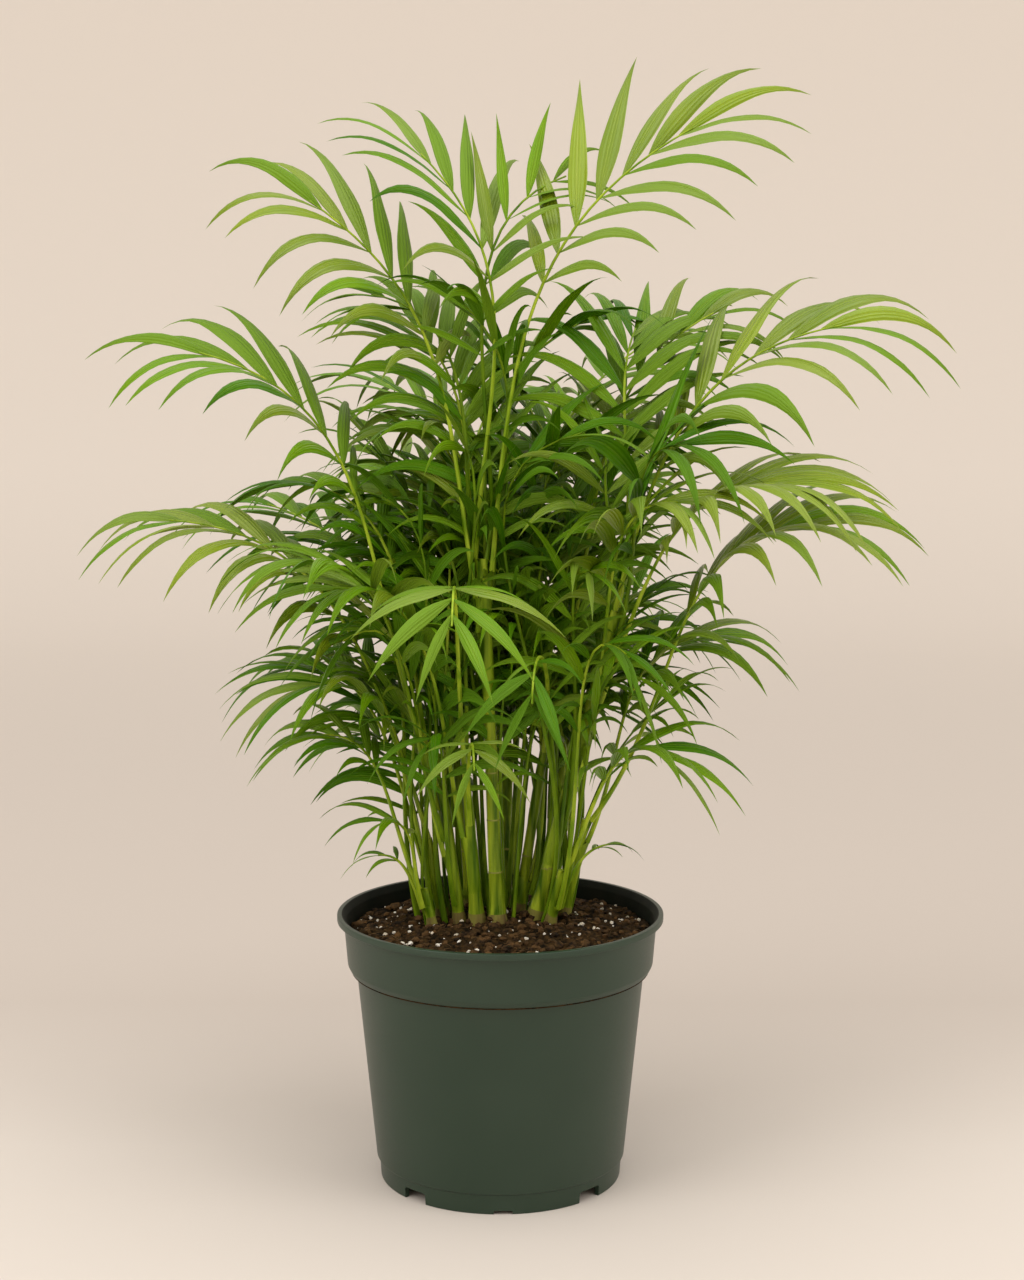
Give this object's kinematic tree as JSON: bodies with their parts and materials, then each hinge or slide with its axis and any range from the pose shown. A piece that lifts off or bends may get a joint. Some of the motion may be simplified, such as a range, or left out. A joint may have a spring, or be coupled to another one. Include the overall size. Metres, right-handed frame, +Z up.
{
  "type": "potted parlour palm",
  "caption": "Parlour palm in a round nursery pot: a clump of slim ringed canes with arching feather fronds, standing in potting mix.",
  "frame": {"origin": "centre of the pot's flat underside, where the pot stands", "axes": "+Z up; -Y is the front, from which the plant is seen in the picture; +X is to the viewer's right"},
  "size_m": [0.6699, 0.528, 0.8653],
  "materials": {
    "pot": "satin moulded plastic, dark green",
    "soil": "damp loose potting mix with white perlite",
    "cane": "smooth green stem with brown ring scars",
    "frond": "satin green leaf with fine lengthwise veins"
  },
  "bodies": {
    "root": {"cane_back": "cane", "cane_back_left": "cane", "cane_back_right": "cane", "cane_centre": "cane", "cane_front": "cane", "cane_left": "cane", "cane_left_inner": "cane", "cane_left_low": "cane", "cane_right": "cane", "cane_right_front": "cane", "cane_right_inner": "cane", "cane_right_tall": "cane", "frond_fore_1": "frond", "frond_fore_2": "frond", "frond_front_right": "frond", "frond_front_small": "frond", "frond_front_star": "frond", "frond_inner_1": "frond", "frond_inner_2": "frond", "frond_inner_3": "frond", "frond_inner_4": "frond", "frond_inner_5": "frond", "frond_inner_6": "frond", "frond_inner_7": "frond", "frond_inner_8": "frond", "frond_left_high": "frond", "frond_left_least": "frond", "frond_left_long": "frond", "frond_left_low": "frond", "frond_left_lower": "frond", "frond_left_near": "frond", "frond_left_rear": "frond", "frond_left_small": "frond", "frond_left_top": "frond", "frond_rear_1": "frond", "frond_rear_2": "frond", "frond_rear_3": "frond", "frond_rear_4": "frond", "frond_rear_5": "frond", "frond_rear_6": "frond", "frond_rear_7": "frond", "frond_rear_8": "frond", "frond_rear_low_1": "frond", "frond_rear_low_2": "frond", "frond_rear_low_3": "frond", "frond_rear_low_4": "frond", "frond_right_high": "frond", "frond_right_least": "frond", "frond_right_long": "frond", "frond_right_low": "frond", "frond_right_lower": "frond", "frond_right_mid": "frond", "frond_right_near": "frond", "frond_right_rear": "frond", "frond_right_top": "frond", "frond_top": "frond", "frond_upper_left": "frond", "frond_upper_right": "frond", "pot": "pot", "soil": "soil"}
  },
  "joints": []
}
